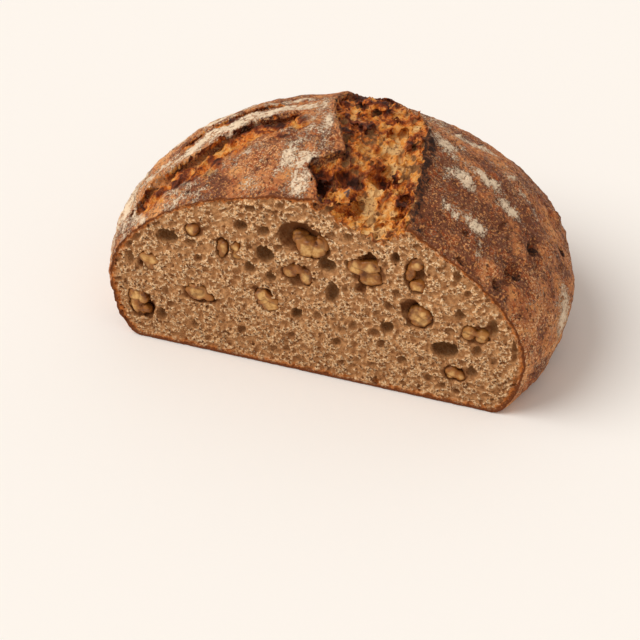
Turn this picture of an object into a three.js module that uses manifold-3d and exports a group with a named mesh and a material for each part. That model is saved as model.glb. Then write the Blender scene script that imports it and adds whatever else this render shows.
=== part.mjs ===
// A sourdough loaf with walnuts, with one end sliced off. Millimetres, +Z up.
// The origin is under the middle of the loaf's box, on the surface that it rests on.
// -Y is the cut side, and the cut face stands upright across X.
import * as THREE from 'three';
import { mergeVertices } from 'three/addons/utils/BufferGeometryUtils.js';
import Module from 'manifold-3d';

const wasm = await Module();
wasm.setup();

// The whole loaf, before its end was sliced off.
const loafWidth = 216;
const loafLength = 195;
const loafHeight = 108;
const bellyHeight = 30; // height of the widest line
const baseInset = 12.5; // how far the flat base is drawn in below the widest line
const planPower = 2.1; // outline seen from above: 2 is an ellipse, more is squarer
const shoulderPower = 1.29; // over 1 slopes the sides in below the crown
const crownPower = 1.05;
const cutDistance = 43; // from the dome's middle forward to the cut
const crust = 2.5; // kept between the crumb's holes and the outside

// The torn opening, from the cut face over the crown. Depths are below the crust's surface.
const tearWidth = 39;
const tearShallow = 3.5; // on its left
const tearDeep = 7; // on its right, under the raised flap

// The scored cracks on the left.
const slashRadius = 3.2;
const slashLift = 0.8; // the groove's middle above the crust

// The walnut pieces at the cut face.
const walnutDepth = 7; // half their size, front to back
const walnutSink = 1.5; // from the cut back to their middles
const walnutLobe = 0.09; // how far their lobes swell, as a share of their size
const pocketClearance = 0.3; // between a walnut and the crumb around it

const sectors = 64;
const underBands = 4;
const crownBands = 15;
const waste = 40; // how far the cutting blocks reach past the loaf

const halfWidth = loafWidth / 2;
const halfLength = loafLength / 2;
const cutY = -(cutDistance + halfLength) / 2;
const middleY = cutY + cutDistance;
const crownRise = loafHeight - bellyHeight;

// Each place on the cut face is a share of its half width there and of its height.
// Sizes are the width and height at the cut.
const walnuts = [
  { across: -0.03, up: 0.75, width: 16.5, height: 15 },
  { across: -0.07, up: 0.565, width: 14, height: 12 },
  { across: 0.3, up: 0.66, width: 16, height: 19 },
  { across: 0.6, up: 0.7, width: 10.5, height: 19.5 },
  { across: 0.52, up: 0.465, width: 14, height: 13.5 },
  { across: 0.78, up: 0.435, width: 13, height: 10.5 },
  { across: -0.56, up: 0.335, width: 14.5, height: 10.5 },
  { across: -0.22, up: 0.37, width: 13.5, height: 14 },
  { across: -0.86, up: 0.205, width: 13.5, height: 17 },
  { across: -0.82, up: 0.47, width: 10.5, height: 11.5 },
  { across: -0.45, up: 0.63, width: 12.5, height: 11.5 },
  { across: -0.72, up: 0.705, width: 8, height: 8 },
  { across: 0.69, up: 0.17, width: 10.5, height: 9.5 },
];
const crumbHoles = [
  { across: -0.12, up: 0.8, width: 17, height: 16 },
  { across: -0.81, up: 0.64, width: 11, height: 8 },
  { across: -0.48, up: 0.785, width: 7, height: 6 },
  { across: -0.26, up: 0.65, width: 9, height: 9.5 },
  { across: -0.3, up: 0.55, width: 6, height: 6 },
  { across: -0.21, up: 0.525, width: 5.5, height: 5.5 },
  { across: 0.09, up: 0.66, width: 8.5, height: 8 },
  { across: 0.1, up: 0.51, width: 6, height: 12 },
  { across: 0.33, up: 0.8, width: 7, height: 6 },
  { across: -0.76, up: 0.16, width: 5.5, height: 7 },
  { across: -0.07, up: 0.34, width: 5.5, height: 6.5 },
  { across: 0.36, up: 0.37, width: 6.5, height: 7 },
  { across: 0.62, up: 0.31, width: 13, height: 10 },
  { across: 0.77, up: 0.34, width: 4.5, height: 5.5 },
  { across: 0.77, up: 0.21, width: 5.5, height: 7 },
  { across: 0.73, up: 0.53, width: 5, height: 5.5 },
];

// Stations along the torn opening: its middle, as a share of the half width, and how far
// back it is, as a share of the half length from the dome's middle. It closes at the back.
const tearStations = [
  { across: 0.2, along: -0.5, open: 1 },
  { across: 0.18, along: -0.32, open: 1.1 },
  { across: 0.205, along: -0.15, open: 0.88 },
  { across: 0.155, along: 0, open: 1 },
  { across: 0.125, along: 0.14, open: 1.05 },
  { across: 0.09, along: 0.3, open: 0.95 },
  { across: 0.05, along: 0.46, open: 0.6 },
  { across: 0.03, along: 0.58, open: 0.2 },
];
const slashes = [
  [[-0.74, -0.24], [-0.6, -0.15], [-0.5, -0.06], [-0.37, 0.04], [-0.24, 0.07], [-0.18, 0.12]],
  [[-0.7, -0.08], [-0.64, 0.04], [-0.56, 0.09], [-0.45, 0.18]],
];

// How far out a point is seen from above: 1 on the loaf's outline.
function planShare(x, y) {
  const side = Math.abs(x / halfWidth) ** planPower;
  const depth = Math.abs((y - middleY) / halfLength) ** planPower;
  return (side + depth) ** (1 / planPower);
}

function crustHeight(x, y) {
  const rest = Math.max(1 - planShare(x, y) ** (2 / shoulderPower), 0);
  return bellyHeight + crownRise * rest ** (crownPower / 2);
}

// How far out the loaf's side is at a height, as a share of its outline.
function sideShare(z) {
  if (z < bellyHeight) {
    const under = Math.cos(Math.asin(1 - z / bellyHeight));
    return (halfWidth - baseInset * (1 - under)) / halfWidth;
  }
  const climb = Math.min((z - bellyHeight) / crownRise, 1);
  return (1 - climb ** (2 / crownPower)) ** (shoulderPower / 2);
}

function facePoint({ across, up, width }) {
  const z = up * crustHeight(0, cutY);
  const cutShare = (cutDistance / halfLength) ** planPower;
  const reach = halfWidth * Math.max(sideShare(z) ** planPower - cutShare, 0) ** (1 / planPower);
  const inner = Math.max(reach - crust - width / 2, 0);
  const x = Math.max(Math.min(across * reach, inner), -inner);
  return new THREE.Vector3(x, cutY, z);
}

function toSolid(geometry) {
  const bare = geometry.clone();
  bare.deleteAttribute('normal');
  bare.deleteAttribute('uv');
  const merged = mergeVertices(bare, 1e-4);
  const vertProperties = new Float32Array(merged.attributes.position.array);
  const triVerts = new Uint32Array(merged.index.array);
  return new wasm.Manifold(new wasm.Mesh({ numProp: 3, vertProperties, triVerts }));
}

function toGeometry(solid) {
  const mesh = solid.getMesh();
  const geometry = new THREE.BufferGeometry();
  geometry.setAttribute('position', new THREE.BufferAttribute(mesh.vertProperties, 3));
  geometry.setIndex(new THREE.BufferAttribute(mesh.triVerts, 1));
  geometry.computeVertexNormals();
  return geometry;
}

// The whole loaf: its side profile turned about the middle, then pushed out to its outline.
function domeGeometry() {
  const profile = [new THREE.Vector2(0, 0)];
  for (let i = 0; i < underBands; i += 1) {
    const angle = (Math.PI / 2) * (1 - i / underBands);
    const z = bellyHeight * (1 - Math.sin(angle));
    profile.push(new THREE.Vector2(halfWidth * sideShare(z), z));
  }
  for (let i = 0; i < crownBands; i += 1) {
    const angle = (Math.PI / 2) * (i / crownBands);
    const z = bellyHeight + crownRise * Math.sin(angle) ** crownPower;
    profile.push(new THREE.Vector2(halfWidth * Math.cos(angle) ** shoulderPower, z));
  }
  profile.push(new THREE.Vector2(0, loafHeight));
  const geometry = new THREE.LatheGeometry(profile, sectors);
  geometry.rotateX(Math.PI / 2);
  const place = geometry.attributes.position;
  for (let i = 0; i < place.count; i += 1) {
    const angle = Math.atan2(place.getY(i), place.getX(i));
    const side = Math.abs(Math.cos(angle) / halfWidth) ** planPower;
    const depth = Math.abs(Math.sin(angle) / halfLength) ** planPower;
    const stretch = (side + depth) ** (-1 / planPower) / halfWidth;
    place.setXY(i, place.getX(i) * stretch, place.getY(i) * stretch);
  }
  return geometry.translate(0, middleY, 0);
}

// Everything in front of the cut.
function cutBlock() {
  const size = loafWidth + 2 * waste;
  const block = new THREE.BoxGeometry(size, size, size);
  return toSolid(block.translate(0, cutY - size / 2, loafHeight / 2));
}

// A closed form through a row of outlines that all have the same number of points.
function loft(outlines) {
  const count = outlines[0].length;
  const last = (outlines.length - 1) * count;
  const index = [];
  for (let i = 0; i + 1 < outlines.length; i += 1) {
    for (let j = 0; j < count; j += 1) {
      const near = i * count + j;
      const next = i * count + ((j + 1) % count);
      index.push(near, next + count, next, near, near + count, next + count);
    }
  }
  for (let j = 1; j + 1 < count; j += 1) {
    index.push(0, j, j + 1, last, last + j + 1, last + j);
  }
  const geometry = new THREE.BufferGeometry();
  geometry.setFromPoints(outlines.flat());
  geometry.setIndex(index);
  return geometry;
}

// The torn opening's outline at one station: down its left edge, along its floor and up.
function tearOutline({ across, along, open }) {
  const y = middleY + along * halfLength;
  const half = (open * tearWidth) / 2;
  const middle = across * halfWidth;
  const top = loafHeight + waste;
  const floor = (share, depth) => {
    const x = middle + share * half;
    return new THREE.Vector3(x, y, crustHeight(x, y) - depth * Math.min(open, 1));
  };
  return [
    new THREE.Vector3(middle - half, y, top),
    floor(-1, 0),
    floor(-0.8, tearShallow),
    floor(0.1, tearShallow),
    floor(0.5, tearDeep),
    floor(0.85, tearDeep),
    floor(1, 0),
    new THREE.Vector3(middle + half, y, top),
  ];
}

function slashGroove(points) {
  const route = points.map(([across, along]) => {
    const x = across * halfWidth;
    const y = middleY + along * halfLength;
    return new THREE.Vector3(x, y, crustHeight(x, y) + slashLift);
  });
  const section = new THREE.Shape();
  section.absarc(0, 0, slashRadius, 0, 2 * Math.PI);
  const path = new THREE.CatmullRomCurve3(route);
  return new THREE.ExtrudeGeometry(section, {
    steps: 4 * points.length,
    curveSegments: 4,
    extrudePath: path,
  });
}

function crumbHole(hole) {
  const geometry = new THREE.SphereGeometry(1, 10, 7);
  const half = Math.min(hole.width, hole.height) / 2;
  geometry.scale(hole.width / 2, half, hole.height / 2);
  return geometry.translate(...facePoint(hole).toArray());
}

// A lumpy walnut piece, grown all over by a clearance when it is the pocket that holds it.
function walnutForm(walnut, seed, clearance) {
  const geometry = new THREE.IcosahedronGeometry(1, 2);
  const place = geometry.attributes.position;
  const point = new THREE.Vector3();
  for (let i = 0; i < place.count; i += 1) {
    point.fromBufferAttribute(place, i);
    const waves = Math.sin(3 * point.x + seed) + Math.sin(4 * point.z + 2 * seed) * Math.cos(3 * point.y);
    const swell = 1 + walnutLobe * waves;
    place.setXYZ(
      i,
      point.x * (swell * walnut.width / 2 + clearance),
      point.y * (swell * walnutDepth + clearance),
      point.z * (swell * walnut.height / 2 + clearance),
    );
  }
  const middle = facePoint(walnut);
  return geometry.translate(middle.x, middle.y + walnutSink, middle.z);
}

function walnutMesh(walnut, number) {
  const solid = toSolid(walnutForm(walnut, number, 0)).subtract(cutBlock());
  const finish = new THREE.MeshStandardMaterial({ color: 0xa97c4c, roughness: 0.6, metalness: 0 });
  const mesh = new THREE.Mesh(toGeometry(solid), finish);
  mesh.name = `walnut_${String(number).padStart(2, '0')}`;
  return mesh;
}

function loafMesh() {
  let solid = toSolid(domeGeometry());
  solid = solid.subtract(toSolid(loft(tearStations.map(tearOutline))));
  for (const points of slashes) solid = solid.subtract(toSolid(slashGroove(points)));
  for (const hole of crumbHoles) solid = solid.subtract(toSolid(crumbHole(hole)));
  walnuts.forEach((walnut, i) => {
    solid = solid.subtract(toSolid(walnutForm(walnut, i + 1, pocketClearance)));
  });
  solid = solid.subtract(cutBlock());
  const finish = new THREE.MeshStandardMaterial({ color: 0x8a5530, roughness: 0.85, metalness: 0 });
  const mesh = new THREE.Mesh(toGeometry(solid), finish);
  mesh.name = 'loaf';
  return mesh;
}

const sourdoughLoaf = new THREE.Group();
sourdoughLoaf.add(loafMesh());
walnuts.forEach((walnut, i) => sourdoughLoaf.add(walnutMesh(walnut, i + 1)));

export default sourdoughLoaf;
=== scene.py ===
import math
import bmesh
import bpy
import numpy as np
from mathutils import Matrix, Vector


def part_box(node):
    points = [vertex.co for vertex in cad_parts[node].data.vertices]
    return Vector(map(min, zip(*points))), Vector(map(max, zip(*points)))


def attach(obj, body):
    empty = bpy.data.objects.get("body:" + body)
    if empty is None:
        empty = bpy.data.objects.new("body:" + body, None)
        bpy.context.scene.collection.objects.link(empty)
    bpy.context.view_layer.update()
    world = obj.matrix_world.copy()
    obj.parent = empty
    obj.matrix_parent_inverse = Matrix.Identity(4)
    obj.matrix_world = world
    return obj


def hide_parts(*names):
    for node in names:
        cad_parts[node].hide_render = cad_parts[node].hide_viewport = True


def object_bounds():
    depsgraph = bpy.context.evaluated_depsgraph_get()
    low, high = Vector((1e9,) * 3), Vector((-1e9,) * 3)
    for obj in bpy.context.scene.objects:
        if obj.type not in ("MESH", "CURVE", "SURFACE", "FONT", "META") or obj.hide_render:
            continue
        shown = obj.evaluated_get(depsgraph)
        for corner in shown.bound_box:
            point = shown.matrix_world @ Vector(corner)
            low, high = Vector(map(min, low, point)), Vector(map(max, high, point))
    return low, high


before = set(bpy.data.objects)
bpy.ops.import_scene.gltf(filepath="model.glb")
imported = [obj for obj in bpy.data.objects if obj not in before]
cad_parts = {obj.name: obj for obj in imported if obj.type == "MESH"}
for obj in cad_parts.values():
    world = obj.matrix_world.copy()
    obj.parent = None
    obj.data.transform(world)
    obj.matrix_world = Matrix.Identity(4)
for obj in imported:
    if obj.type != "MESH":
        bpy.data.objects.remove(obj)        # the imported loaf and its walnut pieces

import openvdb as vdb
from mathutils import Vector

# Shapes are worked out in millimetres and written to the meshes in metres.
# +X runs along the cut face, -Y comes out of it, +Z is up.
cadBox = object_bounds()
metre = 0.001


def boxOf(node):
    return [np.array(corner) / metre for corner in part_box(node)]


loafLow, loafHigh = boxOf("loaf")
cutY = float(loafLow[1])


# The loaf's outer form, by the same formulas as the solid's.
loaf = {
    "cutDistance": 43.0,     # from the dome's middle forward to the cut
    "height": 108.0,
    "bellyHeight": 30.0,
    "baseInset": 12.5,
    "planPower": 2.1,
    "shoulderPower": 1.29,
    "crownPower": 1.05,
    "spacing": 0.5,     # between the field's places, across and up
    "faceSpacing": 0.4,  # behind the cut, widening to backSpacing
    "backSpacing": 0.85,
    "seed": 7,
}
halfWidth = float(loafHigh[0] - loafLow[0]) / 2
middleY = cutY + loaf["cutDistance"]
halfLength = float(loafHigh[1]) - middleY
crownRise = loaf["height"] - loaf["bellyHeight"]


def planShare(x, y):
    n = loaf["planPower"]
    side = np.abs(x / halfWidth) ** n
    depth = np.abs((y - middleY) / halfLength) ** n
    return np.maximum(side + depth, 1e-9) ** (1 / n)


def planSlope(x, y, share):
    n = loaf["planPower"]
    side = np.abs(x / halfWidth) ** (n - 1) / halfWidth
    depth = np.abs((y - middleY) / halfLength) ** (n - 1) / halfLength
    return np.hypot(side, depth) * np.maximum(share, 1e-3) ** (1 - n)


def sideShare(z):
    belly = loaf["bellyHeight"]
    lean = np.clip(1 - z / belly, 0, 1)
    under = 1 - loaf["baseInset"] / halfWidth * (1 - np.sqrt(1 - lean ** 2))
    climb = np.clip((z - belly) / crownRise, 0, 1)
    above = (1 - climb ** (2 / loaf["crownPower"])) ** (loaf["shoulderPower"] / 2)
    return np.where(z < belly, under, above)


def crustHeight(x, y):
    rest = np.maximum(1 - planShare(x, y) ** (2 / loaf["shoulderPower"]), 0)
    return loaf["bellyHeight"] + crownRise * rest ** (loaf["crownPower"] / 2)


def facePlace(across, up):
    # x and z of a place on the cut face, from its shares
    z = up * float(crustHeight(0.0, cutY))
    n = loaf["planPower"]
    cut = (loaf["cutDistance"] / halfLength) ** n
    reach = halfWidth * max(float(sideShare(z)) ** n - cut, 0) ** (1 / n)
    return across * reach, z


def domeField(x, y, z):
    # distance to the loaf's plain outer form, less than nothing inside
    belly = loaf["bellyHeight"]
    share = planShare(x, y)
    slope = planSlope(x, y, share)
    climb = np.maximum((z - belly) / crownRise, 0)
    roundOut = 2 / loaf["shoulderPower"]
    roundUp = 2 / loaf["crownPower"]
    form = share ** roundOut + climb ** roundUp - 1
    out = roundOut * np.maximum(share, 1e-3) ** (roundOut - 1) * slope
    up = roundUp * np.maximum(climb, 1e-3) ** (roundUp - 1) / crownRise
    above = form / np.sqrt(out ** 2 + up ** 2)
    lean = np.clip(1 - z / belly, 0, 1)
    level = np.sqrt(1 - lean ** 2)
    drawn = loaf["baseInset"] / halfWidth
    inward = drawn * lean / (belly * np.maximum(level, 0.05))
    below = (share - 1 + drawn * (1 - level)) / np.sqrt(slope ** 2 + inward ** 2)
    return np.where(z < belly, below, above)


lattices = np.random.default_rng(loaf["seed"]).uniform(-1, 1, (8, 32 ** 3)).astype(np.float32)


def noiseAt(points, size, layer):
    # smooth noise from -1 to 1, with bumps of about this size
    q = (points / size + 7.31 * (layer + 1)).astype(np.float32)
    cell = np.floor(q).astype(np.int32)
    part = q - cell
    part = part * part * (3 - 2 * part)
    near = cell & 31
    far = (cell + 1) & 31
    table = lattices[layer % 8]
    total = np.zeros(len(q), np.float32)
    for corner in range(8):
        pick = [(corner >> axis) & 1 for axis in range(3)]
        index = np.zeros(len(q), np.int32)
        weight = np.ones(len(q), np.float32)
        for axis in range(3):
            index = index * 32 + (far if pick[axis] else near)[:, axis]
            weight *= part[:, axis] if pick[axis] else 1 - part[:, axis]
        total += table[index] * weight
    return total


def noiseSum(points, layers):
    return sum(strength * noiseAt(points, size, layer) for strength, size, layer in layers)


def smoothStep(low, high, value):
    t = np.clip((value - low) / (high - low), 0, 1)
    return t * t * (3 - 2 * t)


def smoothMax(a, b, soft):
    blend = np.clip(0.5 + 0.5 * (a - b) / soft, 0, 1)
    return b + (a - b) * blend + soft * blend * (1 - blend)


def nearestOnRoute(x, y, route):
    # plan distance to a route, signed: above 0 on its left; and how far along, from 0 to 1
    route = np.array(route, float)
    step = np.diff(route, axis=0)
    length = np.hypot(*step.T)
    start = np.concatenate([[0], np.cumsum(length)])
    best = np.full(np.shape(x), 1e9)
    signed = np.zeros(np.shape(x))
    along = np.zeros(np.shape(x))
    for i in range(len(step)):
        fromX, fromY = x - route[i, 0], y - route[i, 1]
        t = np.clip((fromX * step[i, 0] + fromY * step[i, 1]) / length[i] ** 2, 0, 1)
        gapX, gapY = fromX - t * step[i, 0], fromY - t * step[i, 1]
        gap = np.hypot(gapX, gapY)
        side = np.sign(step[i, 0] * fromY - step[i, 1] * fromX)
        closer = gap < best
        best = np.where(closer, gap, best)
        signed = np.where(closer, gap * side, signed)
        along = np.where(closer, (start[i] + t * length[i]) / start[-1], along)
    return signed, along


# The torn opening on top and the scored cracks on the left.
# Places on the loaf's top are x and the distance back from the cut.
tear = {
    "left": [(5, -6), (3.5, 0), (0.5, 5), (-2.5, 11), (-6.5, 14.5), (-5.5, 19), (0, 22), (6.5, 27.5),
             (3, 34), (-2.3, 43), (-7.4, 56), (-12, 70), (-12.5, 84), (-8, 98)],
    "right": [(43, -6), (43, 0), (43, 6), (42.5, 15), (41, 25), (39, 37), (35.5, 52),
              (33, 66), (25, 76), (15, 90), (0, 104)],
    "leftLift": 1.9, "rightLift": 3.2,     # how proud the torn edges stand
    "leftFade": 9.0, "rightFade": 7.0,
    "drop": 1.4,                            # straight down from the left edge
    "valley": [(0, 7.6), (12, 7.0), (30, 6.0), (60, 4.2), (84, 2.2), (100, 0.5)],     # distance back, depth
    "valleyFrom": 0.58, "valleyTo": 0.7,    # where the valley lies, from the left edge to the right
    "rough": 2.7,                           # height of the torn surface's roughness
    "undercut": 0.9,                        # radius of the channel under the left edge
}
tearHollows = [  # x, distance back, half width, half length, depth below the dome
    (24, 27.5, 5.6, 5.6, 14), (22, 60, 5.6, 5.6, 10.5), (36.5, 18, 2.8, 3.6, 8.5), (38.5, 9, 2.4, 3.2, 8.5),
    (0.5, 10.5, 3.6, 3.4, 7.5), (9.5, 17, 3.2, 3.0, 7.5), (7, 64, 3.2, 4, 5.5), (29.5, 1.5, 2.0, 4.0, 9.0),
    (20, 42, 3.4, 3.0, 8.5), (-3, 17, 2.8, 2.4, 4.6), (2, 52, 2.4, 3, 4.5), (12, 74, 3, 4, 4.5),
    (17, 8, 2.0, 5.0, 9.0),
]
tearCaves = [  # and how deep the middle lies, half height: hollows that run in under their far edge
    (24.5, 30.5, 5.2, 4.6, 9.0, 4.2), (0.5, 12.5, 3.4, 3.2, 5.6, 2.6), (9.5, 19.5, 4.0, 2.4, 6.0, 2.4),
    (36.0, 20, 2.4, 2.4, 6.4, 2.2), (38.0, 10.5, 2.2, 2.2, 6.4, 2.0), (22.5, 63, 5.0, 3.6, 7.0, 2.8),
    (6.5, 50, 2.6, 3.2, 4.4, 1.8), (30, 5.5, 2.0, 3.0, 8.5, 2.0),
]
tearLumps = [  # and how deep their middles lie
    (12.5, 8.5, 4.6, 5.0, 2.2), (14.0, 10, 2.0, 3.6, -0.4), (5, 21, 4, 3, 1.6), (31, 33, 4, 5, 4.5),
    (33, 22, 2.4, 9, 3.2), (36, 5, 2.4, 6, 4.6), (5, 2.5, 6, 3, 1.4), (30, 48, 4, 8, 2.6),
    (5, 78, 5, 7, 1.0),
]
tearTonesAndShade = [  # x, distance back, half width, half length, burnt above 0 and pale below; the dark ones over the hollows and caves and along the left wall are painted shade
    (-3, 15, 5, 5, 1.0), (4, 11.5, 4.5, 4, 0.9), (8, 18, 6, 4, 1.0), (1, 21, 5, 4, 0.7),
    (14, 13, 3.0, 4, 1.0), (15.5, 22, 4, 4, 0.9), (9, 5, 7, 3, -0.35), (-5, 62, 5, 18, 0.8),
    (2, 45, 5, 12, 0.7), (6, 30, 4, 6, 0.8), (0, 92, 16, 9, 0.9), (12, 80, 9, 5, 0.5), (36, 27, 3, 9, 0.2),
    (38, 8, 3, 5, 0.4), (9, 52, 4, 4, 0.7), (32, 58, 5, 8, 0.9), (24, 31, 5, 2.6, 1.3),
    (36.5, 18, 2, 2.4, 0.9), (38.5, 9, 2, 2.4, 0.9), (23, 46, 6, 9, -0.45), (22, 60, 4.5, 5, -1.0),
    (26, 36, 7, 4, -0.5), (31.5, 27, 3.4, 9, -0.55), (33, 14, 1.6, 8, -0.6), (23, 14, 4, 10, -1.2),
    (29, 3, 5, 6, -1.1), (10, 2, 8, 2.6, 0.35), (14, 70, 8, 6, 0.4),
]
slashes = [  # x and distance back; the torn band lies on the cut's side of the route
    {"route": [(-91, 13), (-84, 17.5), (-78, 21.6), (-69, 25.8), (-63.5, 27.3), (-58.8, 31.5),
               (-54.6, 37.2), (-45, 43.5), (-39, 46.5), (-26, 49.5), (-19, 55)],
     "deep": 3.8, "gap": 1.6, "band": 14.0, "sunk": 1.1, "lift": 2.3, "undercut": 1.6, "torn": 1.2},
    {"route": [(-78, 38), (-74, 47), (-69, 51), (-63, 54.2), (-53, 61.8), (-44, 66), (-34, 69)],
     "deep": 1.3, "gap": 0.8, "band": 5.5, "sunk": 0.4, "lift": 0.8, "undercut": 0.7, "torn": 0.95},
]
slashHollows = [  # pits and creases: x, distance back, half width, half length, half height
    (-78.5, 21.5, 5.2, 3.4, 4.2), (-91, 13.5, 2.6, 2.4, 2.6), (-85.5, 11, 2.2, 1.8, 2),
    (-36, 46.0, 5.0, 1.9, 3.4), (-50, 39.0, 4.0, 1.8, 3.2), (-64, 26, 3, 1.6, 2.6),
    (-27, 48.6, 3, 1.2, 2.0), (90.5, 38.0, 2.3, 6.6, 3.3), (93.5, 34, 1.6, 5.4, 2.2),
    (87, 19, 5.0, 3.2, 3.0), (84.5, 13, 2.2, 3.8, 2.1), (82.4, 6, 3.2, 1.7, 1.5),
    (64.6, 15.8, 2.9, 1.5, 1.6), (77, 33, 1.4, 4.0, 1.4), (70, 38, 1.2, 3.4, 1.2), (66, 3.5, 4.0, 1.5, 1.6),
    (100, 58, 1.2, 2.5, 1.6),
]


def tearEdge(side, back):
    # x of the opening's left or right edge
    route = np.array(tear[side], float)
    return np.interp(back, route[:, 1], route[:, 0])


def tearEdges(x, y):
    # how far in from the opening's left and right edges and its end
    back = y - cutY
    ragged = 0.8 * np.sin(back * 0.9) * np.sin(back * 0.37 + 1) + 0.5 * np.sin(back * 1.9 + 2)
    fromLeft = x - tearEdge("left", back)
    fromRight = tearEdge("right", back) + ragged - x
    return fromLeft, fromRight, tear["left"][-1][1] - back


def tearMask(x, y, soft=0.8):
    fromLeft, fromRight, end = tearEdges(x, y)
    inside = np.minimum(np.minimum(fromLeft, fromRight), end)
    return smoothStep(-soft, soft, inside)


def eachSlash(x, back, fadeIn, fadeOut):
    # the cracks, with the signed distance from each and how fully it is there between its ends
    for slash in slashes:
        aside, along = nearestOnRoute(x, back, slash["route"])
        yield slash, aside, smoothStep(0, fadeIn, along) * smoothStep(1, fadeOut, along)


def topOffset(x, y):
    # how far the crust's surface is sunk (above 0) or lifted by the tear and the cracks
    fromLeft, fromRight, end = tearEdges(x, y)
    back = y - cutY
    across = np.clip(fromLeft / np.maximum(fromLeft + fromRight, 1), 0, 1)
    fade = smoothStep(-2, 26, end)
    valley = np.array(tear["valley"], float)
    deep = np.interp(back, valley[:, 0], valley[:, 1])
    bell = smoothStep(0, tear["valleyFrom"], across) * smoothStep(1.0, tear["valleyTo"], across)
    sunk = deep * bell + tear["drop"] * smoothStep(-0.2, 0.9, fromLeft) * smoothStep(0.6, 0.2, across)
    leftLift = tear["leftLift"] * np.exp(-np.maximum(-fromLeft, 0) / tear["leftFade"]) * (fromLeft < 0.6)
    ridge = np.where(fromRight > 0, np.exp(-fromRight / 3.0), np.exp(fromRight / tear["rightFade"]))
    jagged = 1 + 0.3 * np.sin(back * 0.8 + 1) * np.sin(back * 0.31) + 0.18 * np.sin(back * 2.1)
    lift = np.where(fromLeft < fromRight, leftLift, tear["rightLift"] * jagged * ridge)
    offset = (tearMask(x, y) * sunk - lift) * fade
    for slash, aside, ends in eachSlash(x, back, 0.12, 0.86):
        gap, band = slash["gap"] * (0.4 + 0.6 * ends), slash["band"] * (0.45 + 0.55 * ends)
        crack = slash["deep"] * smoothStep(-gap * 1.3, -gap * 0.6, aside) * (aside < 0)
        lip = slash["sunk"] * smoothStep(-band, -0.7 * band, aside) * (aside < 0)
        flap = slash["lift"] * np.exp(-np.maximum(aside, 0) / (0.9 * slash["band"])) * (aside >= 0)
        near = np.abs(aside) < 4 * slash["band"]
        offset = offset + near * (crack + lip - flap) * ends
    return offset


swells = [  # where the loaf is fuller or slacker than the dome: x, distance back, radius, how far out
    (42, 88, 38, -2.6), (-35, 75, 40, -0.9), (-34, 2, 26, -1.6), (62, 60, 22, 0.8), (95, 60, 30, -0.6),
    (-95, 30, 25, 0.5), (10, 118, 40, -1.0), (-11, 88, 11, 2.5), (4, 90, 14, 1.0), (26, 84, 14, -1.4),
    (-6, 76, 10, 1.0),
]


crumbHoles = [  # across, up, width, height, depth behind the cut, turn in degrees
    (-0.81, 0.64, 11.6, 8.0, 4.5, 8), (-0.48, 0.785, 6.8, 6.0, 2.6, 0), (-0.32, 0.78, 5.4, 5.4, 2.4, 0),
    (-0.26, 0.65, 9.4, 9.4, 4.6, 20), (-0.32, 0.555, 5.9, 6.2, 3.8, 0), (-0.21, 0.525, 5.4, 5.6, 3.2, 0),
    (0.09, 0.66, 8.5, 8.2, 4.4, 0), (0.105, 0.51, 6.0, 12.0, 4.4, -8), (0.29, 0.84, 4.6, 5.4, 3.0, 20),
    (-0.59, 0.55, 4.0, 4.5, 2.6, 0), (-0.92, 0.47, 4.4, 8.0, 2.6, 0), (-0.76, 0.16, 5.3, 7.2, 3.2, 0),
    (-0.59, 0.14, 4.2, 4.8, 2.2, 0), (-0.07, 0.34, 5.5, 6.4, 4.2, 0), (0.36, 0.37, 6.5, 6.8, 2.2, 0),
    (0.03, 0.355, 4.4, 5.0, 2.4, 0), (0.17, 0.54, 2.8, 4.5, 2.2, 0), (0.38, 0.5, 4.6, 4.4, 2.0, 0),
    (-0.67, 0.63, 6.0, 4.5, 1.6, 0), (0.55, 0.775, 4.5, 6.2, 4.2, 10), (0.86, 0.66, 4.0, 4.8, 2.8, 0),
    (0.9, 0.745, 3.6, 5.0, 2.8, 20), (0.74, 0.53, 5.0, 5.5, 2.6, 0), (0.88, 0.49, 5.2, 9.6, 2.0, 10),
    (0.63, 0.31, 13.0, 9.6, 5.0, 6), (0.78, 0.34, 4.6, 5.6, 3.2, 0), (0.955, 0.39, 2.4, 13.6, 2.4, 4),
    (0.77, 0.21, 5.6, 6.8, 3.6, 0), (-0.35, 0.17, 4.1, 4.8, 2.4, 0), (-0.37, 0.9, 7.0, 2.4, 2.2, -3),
    (0.2, 0.34, 4.0, 4.2, 2.0, 0), (0.12, 0.22, 4.6, 4.4, 2.0, 0), (-0.1, 0.2, 3.6, 4.0, 2.0, 0),
    (0.44, 0.2, 5.0, 4.6, 2.4, 0), (0.3, 0.13, 4.2, 3.6, 2.0, 0), (-0.2, 0.1, 4.0, 3.4, 1.8, 0),
    (-0.46, 0.3, 3.2, 3.6, 1.8, 0), (0.58, 0.12, 4.4, 4.0, 2.2, 0), (-0.72, 0.31, 3.0, 3.4, 1.8, 0),
    (0.86, 0.3, 3.6, 5.2, 2.2, 0), (0.21, 0.7, 3.2, 3.2, 2.0, 0), (-0.72, 0.86, 7.0, 2.0, 1.6, 32),
    (-0.36, 0.68, 3.4, 3.2, 1.8, 0), (0.66, 0.5, 3.4, 3.0, 1.8, 0), (-0.37, 0.48, 4.0, 3.2, 2.0, 0),
]
pores = {
    "medium": 230, "mediumSize": (0.95, 2.3),     # half widths, mm
    "small": 5200, "smallSize": (0.42, 1.15),
    "tear": 900, "tearSize": (0.6, 1.6),
    "crustClear": 1.3,                            # kept solid under the crust
    "sponge": 1.45,                               # how deep the crumb's fine unevenness goes
}

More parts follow.
